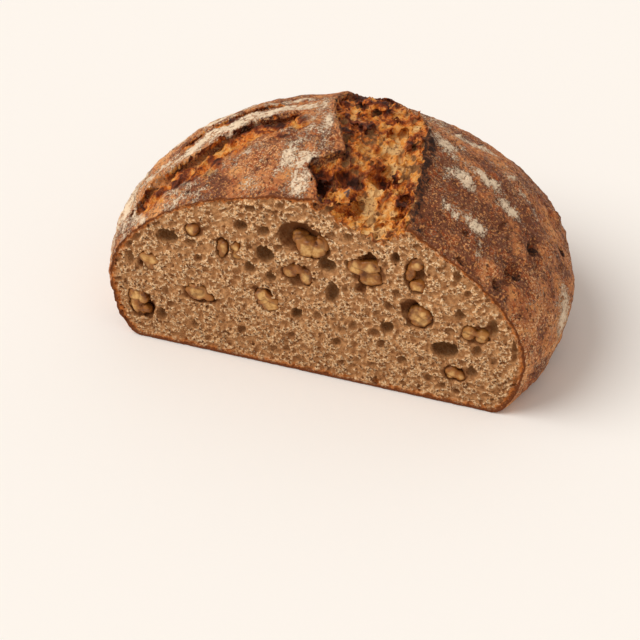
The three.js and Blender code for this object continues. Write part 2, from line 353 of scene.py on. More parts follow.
# Each walnut piece: its lobes, and the gaps that it left in the crumb around it.
# A lobe is x and z from the piece's middle, half width, half height, and how deep it lies.
# cut is how flat the knife left it: 0 is all rounded skin, 1 is a flat pale face.
walnuts = {
    "walnut_01": {
        "lobes": [(1.2, -2.6, 6.8, 5.0, 1.0), (6.6, 0.2, 3.0, 5.2, 1.8), (-3.6, 1.4, 4.0, 3.2, 3.2)],
        "gaps": [(-3.2, 3.2, 10.4, 8.0, 7.0), (3.5, 0.5, 7.4, 7.6, 5.0)], "cut": 0.45, "tone": 0.6},
    "walnut_02": {
        "lobes": [(-3.9, 0.8, 3.7, 3.6, 1.2), (3.9, -0.6, 3.4, 4.6, 1.3), (0.2, 2.6, 2.8, 2.8, 1.8)],
        "gaps": [(0, 0.2, 7.4, 6.2, 5.0)], "cut": 0.0, "tone": 0.35},
    "walnut_03": {
        "lobes": [(-4.0, 2.6, 4.2, 5.4, 0.6), (1.8, 3.4, 5.0, 3.4, 1.4), (1.0, -3.2, 5.4, 3.0, 1.6),
                  (5.6, -2.6, 2.8, 2.8, 1.8)],
        "gaps": [(1.6, 7.6, 4.4, 3.6, 6.0), (-1.6, -8.0, 2.8, 2.6, 4.0), (1.4, 0.4, 7.2, 7.8, 4.0)],
        "cut": 0.3, "tone": 0.55},
    "walnut_04": {
        "lobes": [(0.2, 6.0, 3.8, 3.8, 0.8), (-2.2, 0.6, 2.4, 4.6, 1.2), (1.6, -6.0, 3.8, 3.6, 0.6)],
        "gaps": [(1.2, 0.4, 3.4, 4.6, 5.0), (0.4, 0.2, 5.0, 9.6, 3.6)], "cut": 0.3, "tone": 0.5},
    "walnut_05": {
        "lobes": [(0.8, -0.8, 6.0, 5.6, 0.8)],
        "gaps": [(-3.2, 3.2, 5.4, 5.2, 6.0), (0, 0, 7.2, 6.9, 4.5)], "cut": 0.1, "tone": 0.55},
    "walnut_06": {
        "lobes": [(-3.0, 0.4, 3.4, 3.8, 0.7), (3.0, -0.6, 3.4, 3.4, 0.9)],
        "gaps": [(3.6, 3.2, 3.6, 2.6, 4.0), (0, 0, 6.8, 5.0, 3.6)], "cut": 0.5, "tone": 0.75},
    "walnut_07": {
        "lobes": [(-1.0, 0.3, 6.0, 4.6, 0.5), (5.0, -1.6, 2.4, 2.6, 1.4)],
        "gaps": [(6.2, -2.2, 3.0, 1.6, 4.0), (0, -0.2, 7.4, 5.4, 3.6)], "cut": 0.8, "tone": 0.7},
    "walnut_08": {
        "lobes": [(-1.4, 1.6, 4.6, 4.8, 0.4), (2.2, -1.8, 4.2, 4.6, 0.6)],
        "gaps": [(-1.6, 5.8, 4.8, 1.6, 3.2)], "cut": 0.9, "tone": 0.45},
    "walnut_09": {
        "lobes": [(-1.2, 3.2, 5.0, 5.0, 0.9), (-2.8, -2.8, 3.4, 4.6, 1.2), (1.6, -5.0, 3.4, 2.8, 1.5)],
        "gaps": [(3.4, -3.0, 3.8, 6.2, 6.5), (0, 0, 6.8, 8.6, 4.0)], "cut": 0.25, "tone": 0.55},
    "walnut_10": {
        "lobes": [(-1.8, 1.4, 3.0, 3.6, 0.4), (1.8, 0.8, 3.0, 3.8, 0.5), (0.2, -2.4, 2.6, 2.6, 0.6)],
        "gaps": [(-4.4, -1.4, 1.2, 2.8, 3.0)], "cut": 0.85, "tone": 0.8},
    "walnut_11": {
        "lobes": [(-3.6, 0.2, 2.6, 5.2, 1.3), (2.8, 2.0, 2.4, 2.8, 0.5), (3.6, -2.6, 2.5, 2.6, 0.6)],
        "gaps": [(-3.6, 0.4, 3.2, 5.8, 4.0)], "cut": 0.5, "tone": 0.6},
    "walnut_12": {
        "lobes": [(0, 0, 3.6, 3.6, 1.0)], "gaps": [(1.2, 0.6, 4.4, 3.9, 3.4)], "cut": 0.3, "tone": 0.4},
    "walnut_13": {
        "lobes": [(-1.2, 0.4, 3.6, 3.8, 1.6), (2.4, -0.8, 2.6, 3.0, 1.8)],
        "gaps": [(0.4, 1.2, 5.4, 4.4, 5.0)], "cut": 0.0, "tone": 0.25},
}


def walnutMiddle(name):
    low, high = boxOf(name)
    return (low[0] + high[0]) / 2, (low[2] + high[2]) / 2


# From here the loaf is a distance field, and then a mesh.
def makeGrid(axes):
    # a field over places whose spacing may vary along each axis
    axes = [np.asarray(axis, np.float32) for axis in axes]
    return {"axes": axes, "values": np.zeros([len(axis) for axis in axes], np.float32)}


def evenly(low, high, spacing):
    return np.linspace(low, high, int(round((high - low) / spacing)) + 1)


def axesOf(grid, block=None):
    block = block or (slice(None),) * 3
    x, y, z = [axis[part] for axis, part in zip(grid["axes"], block)]
    return x[:, None, None], y[None, :, None], z[None, None, :]


def blockAround(grid, low, high):
    block = []
    for axis, start, stop in zip(grid["axes"], low, high):
        first = max(int(np.searchsorted(axis, start)) - 1, 0)
        last = min(int(np.searchsorted(axis, stop)) + 1, len(axis))
        if last - first < 2:
            return None
        block.append(slice(first, last))
    return tuple(block)


def sample(grid, points):
    # the field's value at points, between its places
    cell, part = [], []
    for i, axis in enumerate(grid["axes"]):
        q = np.interp(points[:, i], axis, np.arange(len(axis)))
        whole = np.minimum(q.astype(np.int32), len(axis) - 2)
        cell.append(whole)
        part.append((q - whole).astype(np.float32))
    total = np.zeros(len(points), np.float32)
    for corner in range(8):
        pick = [(corner >> axis) & 1 for axis in range(3)]
        weight = np.ones(len(points), np.float32)
        for i in range(3):
            weight *= part[i] if pick[i] else 1 - part[i]
        total += grid["values"][cell[0] + pick[0], cell[1] + pick[1], cell[2] + pick[2]] * weight
    return total


def pointsOf(x, y, z):
    return np.stack([part.ravel() for part in np.broadcast_arrays(x, y, z)], axis=1)


def carve(grid, middle, radii, turn=0.0, soft=0.25, ragged=0.0, layer=3, steep=2.0):
    # takes a rounded hole out of the field; turn is in the upright plane across X,
    # and steep over 2 gives it straighter walls from front to back
    reach = np.array(radii) + 1.5 + ragged
    middle = np.array(middle, float)
    wide = max(reach[0], reach[2])
    reach = np.array([wide, reach[1], wide])
    block = blockAround(grid, middle - reach, middle + reach)
    if block is None:
        return
    x, y, z = axesOf(grid, block)
    cos, sin = math.cos(math.radians(turn)), math.sin(math.radians(turn))
    dx, dz = x - middle[0], z - middle[2]
    across, up = (dx * cos + dz * sin) / radii[0], (dz * cos - dx * sin) / radii[2]
    form = (across ** 2 + up ** 2) ** (steep / 2) + np.abs((y - middle[1]) / radii[1]) ** steep
    hole = (form ** (1 / steep) - 1) * min(radii)
    if ragged:
        hole = hole + ragged * noiseAt(pointsOf(x, y, z), 2.6, layer).reshape(hole.shape)
    values = grid["values"][block]
    grid["values"][block] = smoothMax(values, -hole, soft)


def heap(grid, middle, radii, soft=1.0):
    # adds an ellipsoid to the field
    reach = max(radii) + 3
    middle = np.array(middle, float)
    block = blockAround(grid, middle - reach, middle + reach)
    x, y, z = axesOf(grid, block)
    form = np.sqrt(sum(((a - m) / r) ** 2 for a, m, r in zip((x, y, z), middle, radii)))
    lump = (form - 1) * min(radii)
    grid["values"][block] = -smoothMax(-grid["values"][block], -lump, soft)


def carveRoute(grid, places, radius):
    # a round channel through a row of points
    places = np.array(places, float)
    for start, stop in zip(places[:-1], places[1:]):
        low = np.minimum(start, stop) - radius - 2
        high = np.maximum(start, stop) + radius + 2
        block = blockAround(grid, low, high)
        if block is None:
            continue
        x, y, z = axesOf(grid, block)
        step = stop - start
        t = ((x - start[0]) * step[0] + (y - start[1]) * step[1] + (z - start[2]) * step[2]) / (step @ step)
        t = np.clip(t, 0, 1)
        gap = np.sqrt(sum((a - s - t * d) ** 2 for a, s, d in zip((x, y, z), start, step)))
        values = grid["values"][block]
        grid["values"][block] = smoothMax(values, radius - gap, 0.4)


def onTop(x, back, depth=0.0):
    # a point under the plain crust at this place
    y = cutY + back
    return np.array([x, y, float(crustHeight(x, y)) - depth])


def buildSkin(grid):
    # the outer form with the tear and the cracks, before the cut and the crumb's holes
    x, y, z = axesOf(grid)
    grid["values"][:] = domeField(x, y, z)
    block = blockAround(grid, (-105, cutY - 3, 45), (100, cutY + 125, 115))
    x, y, z = axesOf(grid, block)
    values = grid["values"][block]
    values += topOffset(x[:, :, 0], y[:, :, 0])[:, :, None].astype(np.float32)
    grid["values"][block] = values
    for hx, back, halfW, halfL, depth in tearLumps:
        heap(grid, onTop(hx, back, depth + 1.5), (halfW, halfL, 2.4))
    for hx, back, halfW, halfL, depth in tearHollows:
        carve(grid, onTop(hx, back, 0.3 * depth), (halfW, halfL, 0.7 * depth), ragged=0.9, soft=0.35)
    for hx, back, halfW, halfL, depth, halfH in tearCaves:
        carve(grid, onTop(hx, back, depth), (halfW, halfL, halfH), ragged=0.8, soft=0.35)
    values = grid["values"][block]
    mask = tearMask(x[:, :, 0], y[:, :, 0], 1.2)
    for slash, aside, ends in eachSlash(x[:, :, 0], y[:, :, 0] - cutY, 0.1, 0.9):
        lip = smoothStep(-slash["band"], -0.7 * slash["band"], aside) * (aside < 0.5)
        mask = np.maximum(mask, 0.8 * lip * ends)
    band = (np.abs(values) < 4.5) & (mask[:, :, None] > 0.02)
    at = np.nonzero(band)
    points = np.stack([x[at[0], 0, 0], y[0, at[1], 0], z[0, 0, at[2]]], axis=1)
    values[at] -= tear["rough"] * mask[at[0], at[1]] * tornAt(points)
    grid["values"][block] = values
    for hx, back, halfW, halfL, depth in slashHollows:
        carve(grid, onTop(hx, back, 0.3), (halfW, halfL, depth), ragged=1.3, soft=0.7)
    carveRoute(grid, [onTop(a - 0.6, b, 1.6) for a, b in tear["left"][1:-1]], tear["undercut"])
    for slash in slashes:
        places = [onTop(a, b + 0.5, 0.55 * slash["deep"]) for a, b in slash["route"][1:-1]]
        carveRoute(grid, places, slash["undercut"])


claimStep = 0.4     # between the places that say which parts of the cut face are used
claimEdge = 4.0     # how far they go on past it


def claim(taken, x, z, halfW, halfH):
    # marks an ellipse of the cut face as used; false where another hole is already
    i = int((x - halfW + halfWidth + claimEdge) / claimStep)
    j = int((z - halfH + claimEdge) / claimStep)
    across = (np.arange(i, i + int(2 * halfW / claimStep) + 2) + 0.5) * claimStep - halfWidth - claimEdge
    up = (np.arange(j, j + int(2 * halfH / claimStep) + 2) + 0.5) * claimStep - claimEdge
    inside = ((across[:, None] - x) / halfW) ** 2 + ((up[None, :] - z) / halfH) ** 2 < 1
    part = taken[i:i + len(across), j:j + len(up)]
    inside = inside[:part.shape[0], :part.shape[1]]
    if (part & inside).any():
        return False
    part |= inside
    return True


def scatterPores(grid, skin, rng):
    # the crumb's own pores, packed close, smaller near the base and flattened near the crust
    size = (int((2 * halfWidth + 2 * claimEdge) / claimStep) + 4, int((loaf["height"] + 10) / claimStep))
    taken = np.zeros(size, bool)
    for across, up, width, height, deep, turn in crumbHoles:
        holeX, holeZ = facePlace(across, up)
        claim(taken, holeX, holeZ, width / 2, height / 2)
    for name in walnuts:
        low, high = boxOf(name)
        claim(taken, *walnutMiddle(name), (high[0] - low[0]) / 2, (high[2] - low[2]) / 2)
    for kind, tries, apart in (("medium", 1500, 1.3), ("small", 34000, 0.94)):
        low, high = pores[kind + "Size"]
        across, up = rng.uniform(-halfWidth, halfWidth, tries), rng.uniform(3.2, 97, tries)
        sizes = (low + (high - low) * rng.random(tries) ** 2.2) * (0.82 + 0.22 * np.clip(up / 45, 0, 1))
        depths = -sample(skin, np.stack([across, np.full(tries, cutY + 1), up], axis=1))
        spread = rng.random((tries, 4))
        made = 0
        for x, z, size, depth, (a, b, c, d) in zip(across, up, sizes, depths, spread):
            if depth < pores["crustClear"] + size * 0.5 or made == pores[kind]:
                continue
            squash = 1 - 0.45 * math.exp(-depth / 4.5)
            wide, tall = size * (0.85 + 0.5 * a), size * squash
            if not claim(taken, x, z, wide * apart, tall * apart):
                continue
            made += 1
            lean = math.degrees(math.atan2(-x * 0.9, 90)) if z > 35 else 0
            carve(grid, (x, cutY + (0.7 * b - 0.3) * size, z), (wide, size * (0.95 + 0.5 * c), tall),
                  turn=lean + 60 * d - 30, soft=0.1, ragged=0.2 + 0.1 * size)


def kernelForm(name, x, y, z):
    # distance to a walnut piece: broken lobes with folds over them, lying partly behind the cut
    shape = walnuts[name]
    middle = walnutMiddle(name)
    number = int(name[-2:])
    rng = np.random.default_rng(number)
    total = None
    for dx, dz, halfW, halfH, sink in shape["lobes"]:
        radii = np.array([halfW, 0.85 * min(halfW, halfH) + 1.6, halfH]) + 0.2
        away = [x - middle[0] - dx, y - cutY - sink - 0.35 * radii[1], z - middle[1] - dz]
        lobe = (np.sqrt(sum((a / r) ** 2 for a, r in zip(away, radii))) - 1) * radii.min()
        for _ in range(6):
            normal = rng.normal(size=3) * np.array([1, 0.8, 1])
            normal /= np.linalg.norm(normal)
            reach = np.linalg.norm(normal * radii) * rng.uniform(0.72, 0.95)
            facet = sum(a * n for a, n in zip(away, normal)) - reach
            lobe = smoothMax(lobe, facet, 0.6)
        total = lobe if total is None else -smoothMax(-total, -lobe, 0.7)
    points = pointsOf(x, y, z)
    folds = 1 - np.abs(noiseAt(points + 31 * number, 4.6, number)).reshape(total.shape) * 3.0
    folds = np.clip(folds, 0, 1) ** 1.5
    swirl = noiseAt(points + 17 * number, 3.4, number + 3).reshape(total.shape)
    ripple = noiseAt(points + 5 * number, 1.5, number + 1).reshape(total.shape)
    return total + 0.5 * folds - 0.5 * swirl - 0.24 * ripple, folds, swirl, ripple


def carvePockets(grid):
    for name, shape in walnuts.items():
        middle = walnutMiddle(name)
        reach = 14
        low = (middle[0] - reach, cutY - 2, middle[1] - reach)
        high = (middle[0] + reach, cutY + reach, middle[1] + reach)
        block = blockAround(grid, low, high)
        lump = kernelForm(name, *axesOf(grid, block))[0] - 0.04
        grid["values"][block] = smoothMax(grid["values"][block], -lump, 0.2)
        for gapX, gapZ, halfW, halfH, deep in shape["gaps"]:
            at = (middle[0] + gapX, cutY - 0.2, middle[1] + gapZ)
            carve(grid, at, (halfW, deep, halfH), ragged=0.7, layer=5)


def pocketAt(points):
    # how much a point of the crumb on a pocket's wall, behind the cut, is darkened round a walnut piece
    pocketDarkening = np.zeros(len(points), np.float32)
    for name, shape in walnuts.items():
        middle = walnutMiddle(name)
        for gapX, gapZ, halfW, halfH, deep in shape["gaps"]:
            across = (points[:, 0] - middle[0] - gapX) / (halfW + 0.6)
            up = (points[:, 2] - middle[1] - gapZ) / (halfH + 0.6)
            form = np.sqrt(across ** 2 + up ** 2 + ((points[:, 1] - cutY) / (deep + 1.5)) ** 2)
            pocketDarkening = np.maximum(pocketDarkening, smoothStep(1.15, 0.95, form))
    return pocketDarkening * smoothStep(0.5, 1.8, points[:, 1] - cutY)


def fieldMesh(name, grid):
    # the field's surface as a mesh, in metres, with its points in millimetres
    reach = 3.0
    volume = vdb.FloatGrid(background=reach)
    volume.copyFromArray(np.clip(grid["values"], -reach, reach))
    points, triangles, quads = volume.convertToPolygons(isovalue=0.0, adaptivity=0.0)
    points = np.array(points, float)
    points = np.stack([np.interp(points[:, i], np.arange(len(axis)), axis)
                       for i, axis in enumerate(grid["axes"])], axis=1)
    mesh = bpy.data.meshes.new(name)
    mesh.vertices.add(len(points))
    mesh.vertices.foreach_set("co", (points * metre).ravel())
    quads = np.array(quads).reshape(-1, 4)[:, ::-1]
    triangles = np.array(triangles).reshape(-1, 3)[:, ::-1]
    faces = np.concatenate([quads.ravel(), triangles.ravel()])
    sizes = np.concatenate([np.full(len(quads), 4), np.full(len(triangles), 3)])
    mesh.loops.add(len(faces))
    mesh.loops.foreach_set("vertex_index", faces.astype(np.int32))
    mesh.polygons.add(len(sizes))
    starts = np.concatenate([[0], np.cumsum(sizes)[:-1]])
    mesh.polygons.foreach_set("loop_start", starts.astype(np.int32))
    mesh.polygons.foreach_set("use_smooth", np.ones(len(sizes), bool))
    mesh.update(calc_edges=True)
    mesh.validate()
    return mesh, points


def keepLargest(mesh, share=1.0):
    # drops loose bits of surface smaller than this share of the largest one
    bm = bmesh.new()
    bm.from_mesh(mesh)
    bm.verts.ensure_lookup_table()
    seen = np.zeros(len(bm.verts), bool)
    groups = []
    for vert in bm.verts:
        if seen[vert.index]:
            continue
        stack, group = [vert], []
        seen[vert.index] = True
        while stack:
            v = stack.pop()
            group.append(v)
            for edge in v.link_edges:
                other = edge.other_vert(v)
                if not seen[other.index]:
                    seen[other.index] = True
                    stack.append(other)
        groups.append(group)
    enough = share * max(len(group) for group in groups)
    loose = [v for group in groups if len(group) < enough for v in group]
    kept = np.ones(len(bm.verts), bool)
    kept[[v.index for v in loose]] = False
    bmesh.ops.delete(bm, geom=loose, context="VERTS")
    bm.to_mesh(mesh)
    bm.free()
    return kept


def addObject(name, data):
    made = bpy.data.objects.new(name, data)
    bpy.context.collection.objects.link(made)
    return made


def setMask(mesh, name, values):
    layer = mesh.attributes.new(name, "FLOAT", "POINT")
    layer.data.foreach_set("value", np.ascontiguousarray(values, np.float32))


floured = [  # x, distance back, half width, half length, turn, strength: where the flour lies thick
    (-11, 19, 8.5, 5.5, 20, 1.0), (-7.5, 8.5, 6.5, 7.5, 0, 1.0), (-17, 22, 6, 4, 30, 0.8),
    (-19, 12, 5, 4, 0, 0.45), (-16, 44, 9, 18, 12, 0.52), (-8, 42, 5.0, 13, 12, 0.66),
    (-4, 28, 5.0, 5, 0, 0.75), (-14, 57, 5, 13, 15, 0.6), (-18, 30, 5, 7, 0, 0.45),
    (-52, 47, 24, 7.5, 33, 1.25), (-30, 60, 15, 6.0, 15, 1.15), (-22, 40, 6, 4.5, 10, 0.55),
    (-70, 33, 11, 6, 33, 0.8), (-94, 10, 6, 6, 20, 0.6), (-50, 3, 6, 4.5, 0, 0.5),
    (-40, 24, 12, 5, 30, 0.5), (-62, 14, 14, 7, 30, 0.62), (-84, 6, 12, 8, 20, 0.6),
    (-30, 8, 7, 4, 0, 0.45), (-80, 8, 8, 5, 20, 0.5), (-66, 72, 24, 6, 40, 0.95), (-58, 60, 16, 3, 38, 0.5),
    (-99, 40, 6, 24, 10, 0.9), (-86, 58, 14, 5, 45, 0.95), (-99, 28, 7, 20, 5, 1.0),
    (-91, 53, 10, 6, 50, 1.05), (-84, 30, 12, 4, 45, 0.8), (-74, 16, 28, 10, 28, 0.62),
    (-100, 20, 7, 16, 10, 0.8), (-34, 72, 16, 4, 20, 0.8), (42, 62, 10, 5.5, -50, 0.92),
    (56.4, 44.0, 8.4, 4.0, -19, 1.0), (63.8, 53.8, 8.4, 4.2, -19, 1.0), (52, 88, 14, 4.5, 5, 0.72),
    (76.5, 46.4, 5.6, 3.6, -16, 1.0), (66.5, 22.8, 6.0, 3.7, 0, 1.0), (56, 21.2, 5.4, 2.8, -18, 0.8),
    (47, 42, 5, 8, -10, 0.42), (71.8, 11, 2.6, 2.4, 0, 0.62), (107, 38, 3, 10, 0, 0.85),
    (83, 61, 8, 2.6, -33, 0.5), (70, 74, 8, 5, -40, 0.5), (48, 70, 8, 4, -40, 0.5),
    (-63, 4.5, 13, 3, 12, 0.62), (30, 98, 9, 7, -30, 0.65), (-20, 102, 18, 9, 0, 0.5),
    (20, 125, 22, 6, 5, 0.6), (-55, 110, 12, 6, 40, 0.6), (60, 112, 9, 7, -40, 0.5),
    (-85, 78, 6, 12, 20, 0.5),
]
ashes = [(13.4, 9.5, 2.0, 1.0), (14.2, 12.5, 1.5, 0.8), (2.0, 60, 2.0, 0.6)]  # greyed spots in the tear
charredAndShaded = [  # dark spots: x, distance back, radius, strength; the first ones, which are sunk too, are painted shade in pits and crevices, the others are burnt spots
    (90.5, 39, 4.6, 0.75), (86.8, 18.0, 4.8, 0.7), (64.3, 16.0, 3.2, 0.75), (66, 3, 3.4, 0.85),
    (100.1, 59, 3.0, 0.9), (82.4, 6, 4.2, 0.6), (94.6, 80, 2.6, 0.8), (41.5, 92, 2.4, 0.9),
    (52.8, 91.7, 2.4, 0.7), (38.0, 54, 4.6, 1.0), (40.5, 47, 3.4, 0.8), (34.5, 60, 3.4, 0.8),
    (48, 3.5, 4.5, 0.55), (55, 7, 5, 0.4), (-60, 7, 3.0, 0.45), (-38, 14, 3.0, 0.4), (-84, 3, 3, 0.4),
    (95, 8, 4, 0.35), (74, 30, 4, 0.3), (-14, 33, 3, 0.35), (34.5, 66, 2.6, 0.7),
]
tintsAndShade = [  # x, distance back, radius, darker and more purple above 0, golden below; the strong dark ones over the crevices and the dark ones across the right flank are painted shade
    (-46, 8, 9, 1.1), (-40, 14, 4, -1.3), (-42, 26, 10, 0.6), (-20, 16, 8, 0.45), (-22, 4, 10, -0.5),
    (-70, 8, 16, -0.7), (-98, 20, 20, -0.9), (-60, 70, 24, -0.5), (-30, 34, 9, -0.5), (90.5, 38, 5, 1.6),
    (87, 18, 6, 1.6), (83, 6, 5, 1.3), (64, 15, 4, 1.3), (60, 30, 18, 0.8), (52, 40, 10, 0.6),
    (56, 10, 12, 0.6), (50, 62, 12, 0.5), (88, 30, 13, 0.8), (82, 50, 12, 0.7), (76, 20, 8, 0.5),
    (103, 24, 12, -0.6), (92, 4, 12, -0.6), (74, 4, 8, -0.3), (70, 50, 14, 0.4), (48, 22, 9, 0.7),
    (45, 50, 8, 0.35), (-70, 50, 12, 0.3), (0, 110, 30, 0.3), (-60, 100, 24, 0.4), (70, 100, 24, 0.3),
]
heaps = [  # bumps on the crust: x, distance back, radius, height
    (37.4, 55.5, 2.2, 2.6), (39.5, 49, 2.0, 1.2), (35.0, 61, 2.0, 1.6), (41, 40, 2.4, 0.9),
    (43, 30, 2.2, 0.8), (92.3, 78, 3.4, 3.2), (44, 90, 2.2, 1.3), (54, 92, 2.0, 1.2), (84, 57, 4.0, 0.9),
    (-70, 8, 5, 0.9), (68, 12, 4, 1.0), (90, 30, 4, 1.2), (80, 12, 4, 1.0), (96, 46, 4, 1.1),
    (72, 36, 4, 0.7), (-52, 24, 5, 0.8), (-34, 22, 5, 0.7), (-24, 8, 5, 0.6), (-90, 26, 5, 0.8),
    (-76, 60, 6, 0.8), (-30, 84, 8, 0.9), (40, 108, 7, 1.0), (86, 96, 6, 1.0), (-70, 104, 7, 1.1),
    (0, 124, 8, 0.9), (56, 4, 4, 0.9), (-44, 4, 5, 0.6),
]


def spotSum(points, spots, sharp=2.2, fadeFrom=14, fadeTo=34):
    # round soft spots added up at these points, fading out low down on the loaf
    total = np.zeros(len(points), np.float32)
    for sx, sBack, radius, strength in spots:
        gap = np.hypot(points[:, 0] - sx, points[:, 1] - cutY - sBack) / radius
        total += strength * np.exp(-sharp * gap ** 2)
    return total * smoothStep(fadeFrom, fadeTo, points[:, 2])


def flourAt(points):
    x, back = points[:, 0], points[:, 1] - cutY
    flour = np.zeros(len(points), np.float32)
    for fx, fBack, halfW, halfL, turn, strength in floured:
        cos, sin = math.cos(math.radians(turn)), math.sin(math.radians(turn))
        across = (x - fx) * cos + (back - fBack) * sin
        up = (back - fBack) * cos - (x - fx) * sin
        form = np.sqrt((across / halfW) ** 2 + (up / halfL) ** 2)
        flour = np.maximum(flour, strength * smoothStep(1.7, 0.1, form))
    under = -domeField(x, points[:, 1], points[:, 2])
    return flour * smoothStep(12, 30, points[:, 2]) * smoothStep(1.5, 0.6, under)


def tornAt(points):
    # the torn crumb's ridges and hollows, drawn out away from the cut
    drawn = points * np.array([1.0, 0.6, 1.0])
    torn = 0.55 * noiseAt(points, 8, 0) + 0.5 * noiseAt(drawn, 3.9, 1)
    return torn + 0.45 - 1.1 * np.abs(noiseAt(drawn, 3.0, 2)) - 0.5 * np.abs(noiseAt(drawn, 1.5, 4))


def toneAndShadeAt(points):
    total = np.zeros(len(points), np.float32)
    for tx, tBack, halfW, halfL, strength in tearTonesAndShade:
        form = ((points[:, 0] - tx) / halfW) ** 2 + ((points[:, 1] - cutY - tBack) / halfL) ** 2
        total += strength * np.exp(-1.2 * form)
    return np.clip(total, -1.3, 1.3)


def charAndShadeAt(points, depth):
    # the burnt right edge of the tear, a painted shadow line along its left edge, painted shade in the gaps
    # of the cracks, and the dark spots
    x, y = points[:, 0], points[:, 1]
    fromLeft, fromRight, end = tearEdges(x, y)
    back = y - cutY
    wide = 2.4 + 3.0 * smoothStep(26, 52, back) + 2.0 * noiseAt(points, 3.2, 3)
    right = smoothStep(-wide - 1.6, -wide + 0.4, fromRight) * smoothStep(1.8, -0.2, fromRight)
    right *= smoothStep(1, 9, back) * smoothStep(66, 50, back)
    left = smoothStep(-0.7, -0.1, fromLeft) * smoothStep(0.8, 0.1, fromLeft) * (fromRight > 5)
    charAndShade = np.maximum(0.72 * right, 0.5 * left * smoothStep(-2, 10, end))
    for slash, aside, ends in eachSlash(x, back, 0.1, 0.9):
        gap = smoothStep(-slash["gap"] - 0.7, -slash["gap"], aside) * smoothStep(0.3, -0.3, aside)
        charAndShade = np.maximum(charAndShade, 0.7 * gap * ends)
    high = (points[:, 2] > 50) * smoothStep(2.4, 1.0, depth)
    return np.maximum(charAndShade * high, np.clip(spotSum(points, charredAndShaded), 0, 1))


uneven = {  # layers of noise: strength and size of the bumps in mm, and which lattice
    "swell": [(0.9, 34, 4), (0.65, 13, 5)],
    "crust": [(0.5, 5.6, 6), (0.38, 2.8, 7), (0.16, 1.5, 4)],
    "face": [(0.22, 7.5, 2), (0.16, 2.2, 3), (0.16, 1.3, 5)],
    "rim": [(0.8, 3.4, 6), (0.5, 1.4, 2)],
    "bandEdge": [(3.6, 4.4, 1), (2.0, 1.8, 2)],
    "bigPits": 7,           # how many of the dark spots are sunk too
}


def crustNormal(skin, points):
    step = 0.9
    slope = [sample(skin, points + step * axis) - sample(skin, points - step * axis) for axis in np.eye(3)]
    normal = np.stack(slope, axis=1)
    return normal / np.maximum(np.linalg.norm(normal, axis=1, keepdims=True), 1e-6)


def unevenCrust(points, skin, depth, torn):
    # moves the crust in and out, and roughens the cut face a little
    normal = crustNormal(skin, points)
    near = smoothStep(-9, -0.5, -depth)
    fine = noiseSum(points, uneven["crust"])
    fine -= 0.6 * smoothStep(0.15, 0.8, noiseAt(points, 2.2, 1))
    fine -= 0.45 * smoothStep(0.25, 0.8, noiseAt(points, 1.4, 3))
    swell = noiseSum(points, uneven["swell"]) + fine * (1 - torn)
    swell += spotSum(points, heaps, 1.6) - 0.9 * spotSum(points, charredAndShaded[:uneven["bigPits"]])
    swell += spotSum(points, swells, fadeFrom=30, fadeTo=50)
    lower = smoothStep(0.0, 6.0, points[:, 2])
    points = points + normal * (swell * near * lower)[:, None]
    face = smoothStep(2.5, 0.2, np.abs(points[:, 1] - cutY)) * (depth > 0.8)
    points[:, 1] += np.abs(noiseSum(points, uneven["face"])) * face
    rim = smoothStep(2.6, 0.4, points[:, 1] - cutY) * smoothStep(2.6, 0.8, depth) * lower
    points[:, 1] += rim * (0.35 + noiseSum(points, uneven["rim"])).clip(0, 2)
    points[:, 2] = np.maximum(points[:, 2], 0)
    points[:, 1] = np.maximum(points[:, 1], cutY - 0.2)
    return points


def makeSkin():
    behind = [cutY - 1.2]
    while behind[-1] < float(loafHigh[1]) + 3:
        far = float(smoothStep(9, 26, behind[-1] - cutY))
        behind.append(behind[-1] + loaf["faceSpacing"] + (loaf["backSpacing"] - loaf["faceSpacing"]) * far)
    across = evenly(-halfWidth - 3, halfWidth + 3, loaf["spacing"])
    skin = makeGrid([across, behind, evenly(-1.8, loaf["height"] + 4.8, loaf["spacing"])])
    buildSkin(skin)
    print("loaf: skin done", skin["values"].shape)
    return skin


def tearPores(grid, rng):
    # round holes and strands in the torn opening
    for _ in range(pores["tear"]):
        back = rng.uniform(0, 92)
        x = rng.uniform(tearEdge("left", back) + 1.2, tearEdge("right", back) - 0.6)
        size = rng.uniform(*pores["tearSize"])
        down = float(topOffset(np.array([[x]]), np.array([[cutY + back]]))[0, 0])
        radii = (size, size * rng.uniform(1.0, 2.2), size * rng.uniform(0.9, 1.8))
        carve(grid, onTop(x, back, down + 0.3), radii, turn=rng.uniform(-30, 30), soft=0.15)


def makeCrumb(skin, rng):
    # cuts the loaf and opens its pores, holes and pockets
    body = {"axes": skin["axes"], "values": skin["values"].copy()}
    x, y, z = axesOf(body)
    body["values"] = np.maximum(body["values"], np.maximum(cutY - y, -z)).astype(np.float32)
    scatterPores(body, skin, rng)
    for across, up, width, height, deep, turn in crumbHoles:
        holeX, holeZ = facePlace(across, up)
        radii = (width / 2, max(1.25 * deep, 0.8 * min(width, height)), height / 2)
        carve(body, (holeX, cutY - 0.2, holeZ), radii, turn=turn, ragged=0.3, steep=2.3, soft=0.12)
    carvePockets(body)
    block = blockAround(body, (-halfWidth, cutY - 1, 2), (halfWidth, cutY + 3.5, loaf["height"]))
    points = pointsOf(*axesOf(body, block))
    sponge = np.maximum(noiseAt(points, 1.8, 1), noiseAt(points, 1.35, 2)) - 0.18
    under = np.clip(-sample(skin, points) - 1.0, 0, 1) * smoothStep(cutY + 3.4, cutY + 1.2, points[:, 1])
    sponge = pores["sponge"] * under * np.clip(sponge, 0, 1)
    body["values"][block] += sponge.reshape(body["values"][block].shape)
    tearPores(body, rng)
    print("loaf: crumb done")
    return body


